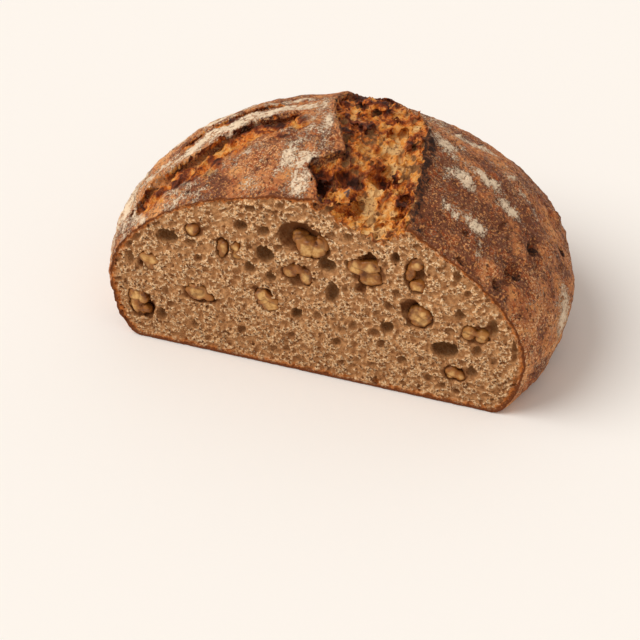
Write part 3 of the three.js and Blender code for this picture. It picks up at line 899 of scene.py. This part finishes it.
def makeLoaf():
    skin = makeSkin()
    body = makeCrumb(skin, np.random.default_rng(loaf["seed"]))
    mesh, points = fieldMesh("loaf_bread", body)
    points = points[keepLargest(mesh)]
    depth = -sample(skin, points)
    behind = points[:, 1] - cutY
    shallow = smoothStep(2.8, 1.2, depth) * (points[:, 2] > 50)
    torn = tearMask(points[:, 0], points[:, 1], 1.0) * shallow * smoothStep(-0.1, 0.6, behind - 0.2 * depth)
    bands = np.zeros(len(points))
    wander = noiseSum(points, uneven["bandEdge"])
    for slash, aside, ends in eachSlash(points[:, 0], behind, 0.08, 0.92):
        wide = slash["torn"] * slash["band"]
        band = smoothStep(-wide, -0.75 * wide, aside + wander) * (aside < 0.4)
        bands = np.maximum(bands, band * ends)
    bands = bands * shallow
    moved = unevenCrust(points, skin, depth, torn)
    mesh.vertices.foreach_set("co", (moved * metre).ravel())
    mesh.update()
    # the underside has a crust too
    shell = np.minimum(depth, points[:, 2] * 1.15 + 0.3 * noiseAt(points, 4.0, 2))
    onFace = smoothStep(0.75, 0.3, behind) + (shell > 1.6)
    masks = {
        "crustDepth": shell,
        "heightShare": points[:, 2] / loaf["height"],
        "cutMask": np.clip(onFace * (1 - torn), 0, 1),
        "tearMask": torn,
        "crackMask": bands,
        "tearToneAndShade": toneAndShadeAt(points) + 0.45 * bands,
        "tearRise": tornAt(points),
        "flourMask": flourAt(points),
        "charAndShadeMask": charAndShadeAt(points, depth),
        "tintAndShadeMask": spotSum(points, tintsAndShade, 1.6),
        "ashMask": spotSum(points, ashes, 1.6),
        # how far behind the cut; the crumb's colour uses it for painted shade in the pores
        "poreDepth": np.clip(behind, 0, 8),
        "pocketMask": pocketAt(points),
    }
    for name, values in masks.items():
        setMask(mesh, name, values)
    print("loaf: mesh done", len(mesh.vertices))
    return addObject("loaf_bread", mesh)


def makeWalnut(name):
    shape = walnuts[name]
    middle = walnutMiddle(name)
    wide = 12.5       # half of the field, across and up
    deep = 15.0       # the field behind the cut
    step = 0.34
    across = evenly(middle[0] - wide, middle[0] + wide, step)
    up = evenly(middle[1] - wide, middle[1] + wide, step)
    grid = makeGrid([across, evenly(cutY - 1, cutY + deep, step), up])
    x, y, z = axesOf(grid)
    lump, folds, swirl, ripple = kernelForm(name, x, y, z)
    flat = shape["cut"]
    plane = cutY + 0.15 + 0.7 * (1 - flat) - y + 0.4 * swirl + 0.6 * folds + 0.3 * ripple
    grid["values"] = smoothMax(lump, plane, 0.5 + 1.6 * (1 - flat)).astype(np.float32)
    sides = np.maximum(np.abs(x - middle[0]), np.abs(z - middle[1])) - wide + 1
    edge = np.maximum(np.maximum(sides, y - cutY - deep + 1.5), cutY - y)
    grid["values"] = np.maximum(grid["values"], edge).astype(np.float32)
    mesh, places = fieldMesh(name + "_kernel", grid)
    places = places[keepLargest(mesh, 0.15)]
    for key, values in (("kernelDepth", -lump), ("foldShadeMask", folds), ("kernelRise", swirl)):
        setMask(mesh, key, sample({"axes": grid["axes"], "values": values.astype(np.float32)}, places))
    setMask(mesh, "kernelTone", np.full(len(places), shape["tone"]))
    return addObject(name + "_kernel", mesh)


def join(value, socket):
    if isinstance(value, bpy.types.NodeSocket):
        socket.id_data.links.new(value, socket)
    else:
        socket.default_value = value


def place(tree, kind, inputs=None, **settings):
    made = tree.nodes.new(kind)
    for key, value in settings.items():
        setattr(made, key, value)
    for key, value in (inputs or {}).items():
        join(value, made.inputs[key])
    return made


def figure(operation, a, b):
    tree = (a if isinstance(a, bpy.types.NodeSocket) else b).id_data
    return place(tree, "ShaderNodeMath", {0: a, 1: b}, operation=operation).outputs[0]


def plus(a, b):
    return figure("ADD", a, b)


def minus(a, b):
    return figure("SUBTRACT", a, b)


def times(a, b):
    return figure("MULTIPLY", a, b)


def between(value, low, high, toLow=0.0, toHigh=1.0):
    limits = {0: value, 1: low, 2: high, 3: toLow, 4: toHigh}
    made = place(value.id_data, "ShaderNodeMapRange", limits, interpolation_type="SMOOTHSTEP")
    return made.outputs[0]


def solid(colour):
    return (*colour, 1) if isinstance(colour, tuple) else colour


def blendColour(share, a, b, mode="MIX"):
    made = place(share.id_data, "ShaderNodeMix", data_type="RGBA", blend_type=mode)
    for socket, value in ((0, share), (6, solid(a)), (7, solid(b))):
        join(value, made.inputs[socket])
    return made.outputs[2]


def grain(where, scale, detail=3.0, rough=0.55, warp=0.0):
    inputs = {"Vector": where, "Scale": scale, "Detail": detail, "Roughness": rough, "Distortion": warp}
    return place(where.id_data, "ShaderNodeTexNoise", inputs).outputs["Fac"]


def maskOf(tree, name):
    return place(tree, "ShaderNodeAttribute", attribute_name=name).outputs["Fac"]


def newGroup(name, takes, gives):
    group = bpy.data.node_groups.new(name, "ShaderNodeTree")
    for label, kind, value in takes:
        socket = group.interface.new_socket(label, in_out="INPUT", socket_type=kind)
        if value is not None:
            socket.default_value = value
    for label, kind in gives:
        group.interface.new_socket(label, in_out="OUTPUT", socket_type=kind)
    start = group.nodes.new("NodeGroupInput")
    stop = group.nodes.new("NodeGroupOutput")
    return group, start.outputs, stop.inputs


def mottleGroup():
    # two colours broken up over the surface by a noise
    group, given, put = newGroup(
        "mottle",
        [("Place", "NodeSocketVector", None), ("Scale", "NodeSocketFloat", 100.0),
         ("Low", "NodeSocketFloat", 0.4), ("High", "NodeSocketFloat", 0.6),
         ("Colour A", "NodeSocketColor", (0.5, 0.5, 0.5, 1)),
         ("Colour B", "NodeSocketColor", (0.2, 0.2, 0.2, 1))],
        [("Colour", "NodeSocketColor")])
    noise = grain(given["Place"], given["Scale"], 5.0, 0.62, 0.3)
    mask = between(noise, given["Low"], given["High"])
    join(blendColour(mask, given["Colour A"], given["Colour B"]), put["Colour"])
    return group


def specksGroup():
    # small separate specks, each a cell of its own
    group, given, put = newGroup(
        "specks",
        [("Place", "NodeSocketVector", None), ("Scale", "NodeSocketFloat", 900.0),
         ("Share", "NodeSocketFloat", 0.1)],
        [("Mask", "NodeSocketFloat")])
    cells = place(group, "ShaderNodeTexVoronoi", {"Vector": given["Place"], "Scale": given["Scale"]})
    split = place(group, "ShaderNodeSeparateColor", {"Color": cells.outputs["Color"]})
    chosen = figure("LESS_THAN", split.outputs[0], given["Share"])
    dot = between(cells.outputs["Distance"], 0.5, 0.25)
    join(times(chosen, dot), put["Mask"])
    return group


mottle = mottleGroup()
specks = specksGroup()


def mottled(where, scale, low, high, a, b):
    inputs = {"Place": where, "Scale": scale, "Low": low, "High": high}
    inputs.update({"Colour A": solid(a), "Colour B": solid(b)})
    return place(where.id_data, "ShaderNodeGroup", inputs, node_tree=mottle).outputs["Colour"]


def specked(where, scale, share):
    inputs = {"Place": where, "Scale": scale, "Share": share}
    return place(where.id_data, "ShaderNodeGroup", inputs, node_tree=specks).outputs["Mask"]


breadLook = {
    "crust": (0.52, 0.180, 0.062), "crustDark": (0.092, 0.028, 0.013), "crustGold": (0.78, 0.34, 0.110),
    "crustRed": (0.37, 0.078, 0.015), "crustTan": (0.98, 0.62, 0.32), "crustPurple": (0.195, 0.060, 0.026),
    "flour": (1.0, 0.86, 0.65), "flourShade": (0.86, 0.63, 0.42), "charAndShade": (0.040, 0.017, 0.011),
    "charAndShadeRed": (0.20, 0.062, 0.020), "ash": (0.20, 0.135, 0.125),
    "tearGold": (0.80, 0.33, 0.055), "tearOrange": (0.66, 0.165, 0.016), "tearBurnt": (0.050, 0.014, 0.007),
    "tearPale": (0.80, 0.49, 0.20), "tearRed": (0.22, 0.040, 0.008),
    "crumb": (0.77, 0.405, 0.172), "crumbLight": (1.0, 0.745, 0.46), "crumbDark": (0.155, 0.056, 0.018),
    "crumbLowShade": (0.62, 0.54, 0.46), "bran": (0.12, 0.042, 0.016), "poreWallAndShade": (0.43, 0.190, 0.070),
    "poreDeepShade": (0.20, 0.086, 0.026), "pocketBrown": (0.18, 0.060, 0.016),
    "rimDark": (0.17, 0.046, 0.012), "rimOrange": (0.54, 0.165, 0.032),
}


def crustColour(where, look):
    tree = where.id_data
    # the crust's own tone, with painted shade over the crevices and on the right flank; it also thins the
    # tan dust there
    tintAndShade = maskOf(tree, "tintAndShadeMask")
    patches = minus(grain(where, 60.0, 4.0, 0.6), times(tintAndShade, 0.16))
    colour = blendColour(between(patches, 0.43, 0.55), look["crustPurple"], look["crust"])
    colour = blendColour(between(patches, 0.53, 0.66, 0.0, 0.85), colour, look["crustGold"])
    red = between(grain(where, 150.0, 4.0, 0.65, 0.4), 0.52, 0.64, 0.0, 0.8)
    colour = blendColour(red, colour, look["crustRed"])
    pits = between(grain(where, 560.0, 4.0, 0.75), 0.51, 0.60, 0.0, 0.9)
    colour = blendColour(pits, colour, look["crustDark"])
    gold = between(grain(where, 870.0, 2.0, 0.6), 0.55, 0.63, 0.0, 0.7)
    colour = blendColour(gold, colour, look["crustGold"])
    dusty = between(grain(where, 75.0, 3.0, 0.5), 0.40, 0.64, 0.08, 0.95)
    dust = times(between(grain(where, 1050.0, 2.0, 0.6), 0.54, 0.63), dusty)
    dust = times(dust, between(tintAndShade, -0.5, 0.7, 1.0, 0.35))
    colour = blendColour(dust, colour, look["crustTan"])
    sunk = between(grain(where, 210.0, 5.0, 0.7, 0.5), 0.57, 0.68, 0.0, 0.7)
    return blendColour(sunk, colour, look["crustDark"])


def flourCover(where):
    tree = where.id_data
    thick = maskOf(tree, "flourMask")
    streaks = place(tree, "ShaderNodeMapping", {"Vector": where, "Scale": (1.0, 0.55, 1.0)}).outputs[0]
    coarse = minus(grain(streaks, 190.0, 5.0, 0.62, 0.3), 0.5)
    fine = minus(grain(where, 1000.0, 3.0, 0.75), 0.5)
    broken = plus(thick, times(coarse, 2.2))
    broken = plus(broken, times(fine, 2.6))
    shift = place(tree, "ShaderNodeTexNoise", {"Vector": where, "Scale": 260.0, "Detail": 3.0})
    bend = {0: shift.outputs["Color"], 1: (0.005, 0.005, 0.005), 2: where}
    bent = place(tree, "ShaderNodeVectorMath", bend, operation="MULTIPLY_ADD").outputs[0]
    cracks = {"Vector": bent, "Scale": 250.0}
    edges = place(tree, "ShaderNodeTexVoronoi", cracks, feature="DISTANCE_TO_EDGE").outputs["Distance"]
    line = between(edges, 0.02, 0.10)
    some = between(grain(where, 130.0, 2.0), 0.44, 0.56)
    heavy = times(between(thick, 0.82, 0.95), some)
    crack = minus(1.0, times(heavy, minus(1.0, line)))
    return times(between(broken, 0.34, 0.86, 0.0, 0.94), crack)


def tearColour(where, look):
    tree = where.id_data
    # tone: burnt and pale torn crumb, with painted shade in the tear's hollows and on its left wall
    tone, rise = maskOf(tree, "tearToneAndShade"), maskOf(tree, "tearRise")
    patches = plus(grain(where, 120.0, 5.0, 0.62, 0.5), times(rise, 0.10))
    patches = plus(patches, times(tone, 0.16))
    colour = blendColour(between(patches, 0.31, 0.44), look["tearPale"], look["tearGold"])
    colour = blendColour(between(patches, 0.42, 0.53), colour, look["tearOrange"])
    colour = blendColour(between(patches, 0.51, 0.60), colour, look["tearRed"])
    colour = blendColour(between(patches, 0.58, 0.70), colour, look["tearBurnt"])
    ridge = figure("ABSOLUTE", minus(grain(where, 300.0, 4.0, 0.6, 0.8), 0.5), 0.0)
    web = times(between(ridge, 0.035, 0.0, 0.0, 0.7), between(patches, 0.64, 0.46))
    colour = blendColour(web, colour, look["tearPale"])
    spots = between(grain(where, 520.0, 3.0, 0.7), 0.55, 0.64, 0.0, 0.75)
    colour = blendColour(spots, colour, look["tearRed"])
    ash = between(plus(maskOf(tree, "ashMask"), grain(where, 300.0, 3.0)), 0.85, 1.1)
    return blendColour(ash, colour, look["ash"])


def crumbColour(where, look):
    tree = where.id_data
    colour = mottled(where, 560.0, 0.44, 0.62, look["crumb"], look["crumbDark"])
    fine = grain(where, 1000.0, 3.0, 0.7)
    colour = blendColour(between(fine, 0.49, 0.60), colour, look["crumbLight"])
    colour = blendColour(between(fine, 0.45, 0.37, 0.0, 0.85), colour, look["crumbDark"])
    colour = blendColour(specked(where, 700.0, 0.04), colour, look["bran"])
    # painted shade in the pores: behind the cut the crumb takes a darker wall colour, partly the walls' own
    # colour and partly painted shade, and deeper in it darkens further as painted shade
    behind = maskOf(tree, "poreDepth")
    shadedPoreWall = mottled(where, 420.0, 0.35, 0.7, look["poreWallAndShade"], look["crumb"])
    shadedPoreWall = blendColour(between(behind, 0.8, 4.2, 0.0, 0.95), shadedPoreWall, look["poreDeepShade"])
    colour = blendColour(between(behind, 0.35, 0.85, 0.0, 0.92), colour, shadedPoreWall)
    # darker brown on the pocket walls round the walnut pieces, behind the cut
    pocketDarkening = times(maskOf(tree, "pocketMask"), between(grain(where, 300.0, 4.0), 0.3, 0.6, 0.5, 1.0))
    return blendColour(pocketDarkening, colour, look["pocketBrown"])


def newMaterial(name):
    material = bpy.data.materials.new(name)
    material.use_nodes = True
    return material, material.node_tree, material.node_tree.nodes["Principled BSDF"].inputs


def breadMaterial():
    look = breadLook
    material, tree, surface = newMaterial("bread")
    where = place(tree, "ShaderNodeTexCoord").outputs["Object"]
    loose = between(grain(where, 260.0, 4.0, 0.7), 0.32, 0.68, -1.0, 0.9)
    depth = plus(maskOf(tree, "crustDepth"), loose)
    cover = flourCover(where)
    # burnt crust, with painted shade in the cracks' gaps, along the tear's left edge and in the crevices
    dark = maskOf(tree, "charAndShadeMask")
    charAndShade = between(plus(dark, between(grain(where, 420.0, 4.0), 0.3, 0.7, -0.25, 0.25)), 0.3, 0.65)
    charAndShade = times(charAndShade, between(dark, 0.02, 0.2))
    crust = crustColour(where, look)
    dusty = blendColour(grain(where, 500.0, 3.0), look["flourShade"], look["flour"])
    outer = blendColour(cover, crust, dusty)
    torn = figure("MAXIMUM", maskOf(tree, "tearMask"), maskOf(tree, "crackMask"))
    outer = blendColour(torn, outer, tearColour(where, look))
    burntAndShade = mottled(where, 620.0, 0.46, 0.62, look["charAndShade"], look["charAndShadeRed"])
    outer = blendColour(charAndShade, outer, burntAndShade)
    rise = maskOf(tree, "heightShare")
    bite = times(depth, between(rise, 0.1, 0.8, 0.55, 1.15))
    baked = minus(bite, between(grain(where, 260.0, 3.0), 0.46, 0.62, 0.0, 0.8))
    baked = minus(baked, between(rise, 0.14, 0.02, 0.0, 0.6))
    rim = blendColour(between(baked, 0.0, 0.75), look["rimDark"], look["rimOrange"])
    crumb = crumbColour(where, look)
    # painted shade: the crumb is darkened more and more towards the foot of the cut face
    crumb = blendColour(between(rise, 0.75, 0.0, 0.0, 0.42), crumb, look["crumbLowShade"], "MULTIPLY")
    inner = blendColour(between(bite, 0.7, 2.4), rim, crumb)
    colour = blendColour(maskOf(tree, "cutMask"), outer, inner)
    join(colour, surface["Base Color"])
    rough = between(maskOf(tree, "cutMask"), 0.0, 1.0, 0.62, 0.95)
    rough = figure("MAXIMUM", rough, times(cover, 0.95))
    join(rough, surface["Roughness"])
    height = times(grain(where, 420.0, 5.0, 0.65), 0.6)
    height = plus(height, times(grain(where, 1300.0, 3.0, 0.6), 0.5))
    height = plus(height, times(cover, 0.3))
    bump = place(tree, "ShaderNodeBump", {"Strength": 1.0, "Distance": 0.0015, "Height": height})
    join(bump.outputs["Normal"], surface["Normal"])
    surface["Specular IOR Level"].default_value = 0.2
    return material


kernelLook = {
    "cut": (0.72, 0.42, 0.150), "cutDark": (0.42, 0.185, 0.040), "skin": (0.34, 0.120, 0.022),
    "skinDark": (0.15, 0.045, 0.010), "foldShade": (0.12, 0.038, 0.010), "gloss": 0.34,
}


def kernelMaterial():
    look = kernelLook
    material, tree, surface = newMaterial("walnut_kernel")
    where = place(tree, "ShaderNodeTexCoord").outputs["Object"]
    tone = maskOf(tree, "kernelTone")
    skin = mottled(where, 230.0, 0.44, 0.66, look["skin"], look["skinDark"])
    high = plus(times(maskOf(tree, "kernelRise"), 0.5), tone)
    skin = blendColour(between(high, 0.3, 1.1, 0.0, 0.65), skin, look["cutDark"])
    cut = mottled(where, 300.0, 0.42, 0.66, look["cut"], look["cutDark"])
    inside = plus(maskOf(tree, "kernelDepth"), between(grain(where, 350.0, 3.0), 0.3, 0.7, -0.5, 0.5))
    inside = between(inside, 0.55, 2.0)
    colour = blendColour(inside, skin, cut)
    # painted shade: the kernel's folds are darkened
    colour = blendColour(between(maskOf(tree, "foldShadeMask"), 0.45, 1.0, 0.0, 0.55), colour, look["foldShade"])
    join(colour, surface["Base Color"])
    join(between(inside, 0.0, 1.0, look["gloss"], 0.6), surface["Roughness"])
    fine = times(grain(where, 1800.0, 2.0), 0.3)
    height = plus(grain(where, 600.0, 4.0, 0.6), fine)
    bump = place(tree, "ShaderNodeBump", {"Strength": 0.5, "Distance": 0.0005, "Height": height})
    join(bump.outputs["Normal"], surface["Normal"])
    surface["Specular IOR Level"].default_value = 0.32
    return material


studio = {
    "floor": (0.93, 0.92, 0.90), "floorHalf": 4.0,
    "ambient": (1.0, 0.90, 0.82), "ambientStrength": 0.585,
    "keyFrom": (-0.62, -0.30, 0.78), "keyAngle": 46.0, "keyPower": 2.04, "keyColour": (1.0, 0.99, 0.955),
}
viewpoint = {  # degrees; metres from the cut's foot
    "azimuth": 18.66, "elevation": 39.07, "distance": 0.8143, "lens": 100.0,
    "aside": -0.0005, "behindCut": 0.01454, "height": 0.020,
}


def makeFloor():
    mesh = bpy.data.meshes.new("floor")
    corners = [(across * studio["floorHalf"], back * studio["floorHalf"], 0)
               for across, back in ((-1, -1), (1, -1), (1, 1), (-1, 1))]
    mesh.from_pydata(corners, [], [(0, 1, 2, 3)])
    floor = addObject("floor", mesh)
    floor.location.z = float(cadBox[0].z) - 0.0002
    material, _, surface = newMaterial("pale_floor")
    surface["Base Color"].default_value = solid(studio["floor"])
    surface["Roughness"].default_value = 0.9
    mesh.materials.append(material)


def makeLight():
    world = bpy.data.worlds.new("studio")
    bpy.context.scene.world = world
    world.use_nodes = True
    back = world.node_tree.nodes["Background"]
    back.inputs["Color"].default_value = (*studio["ambient"], 1)
    back.inputs["Strength"].default_value = studio["ambientStrength"]
    lamp = bpy.data.lights.new("key", "SUN")
    lamp.angle = math.radians(studio["keyAngle"])
    lamp.energy = studio["keyPower"]
    lamp.color = studio["keyColour"]
    key = addObject("key", lamp)
    key.rotation_euler = (-Vector(studio["keyFrom"])).to_track_quat("-Z", "Y").to_euler()
    bpy.context.scene.view_settings.view_transform = "Standard"


def makeCamera():
    around, up = math.radians(viewpoint["azimuth"]), math.radians(viewpoint["elevation"])
    back = Vector((math.sin(around) * math.cos(up), -math.cos(around) * math.cos(up), math.sin(up)))
    target = Vector((viewpoint["aside"], cadBox[0].y + viewpoint["behindCut"], viewpoint["height"]))
    lens = bpy.data.cameras.new("camera")
    lens.lens = viewpoint["lens"]
    lens.sensor_width = 36.0
    camera = addObject("camera", lens)
    camera.location = target + back * viewpoint["distance"]
    camera.rotation_euler = (-back).to_track_quat("-Z", "Y").to_euler()
    bpy.context.scene.camera = camera


makeCamera()
makeLight()
makeFloor()
print("stage done")

bread = makeLoaf()
bread.data.materials.append(breadMaterial())
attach(bread, "root")
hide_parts("loaf")

kernelSurface = kernelMaterial()
for name in walnuts:
    kernel = makeWalnut(name)
    kernel.data.materials.append(kernelSurface)
    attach(kernel, "root")
    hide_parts(name)
print("walnuts done")
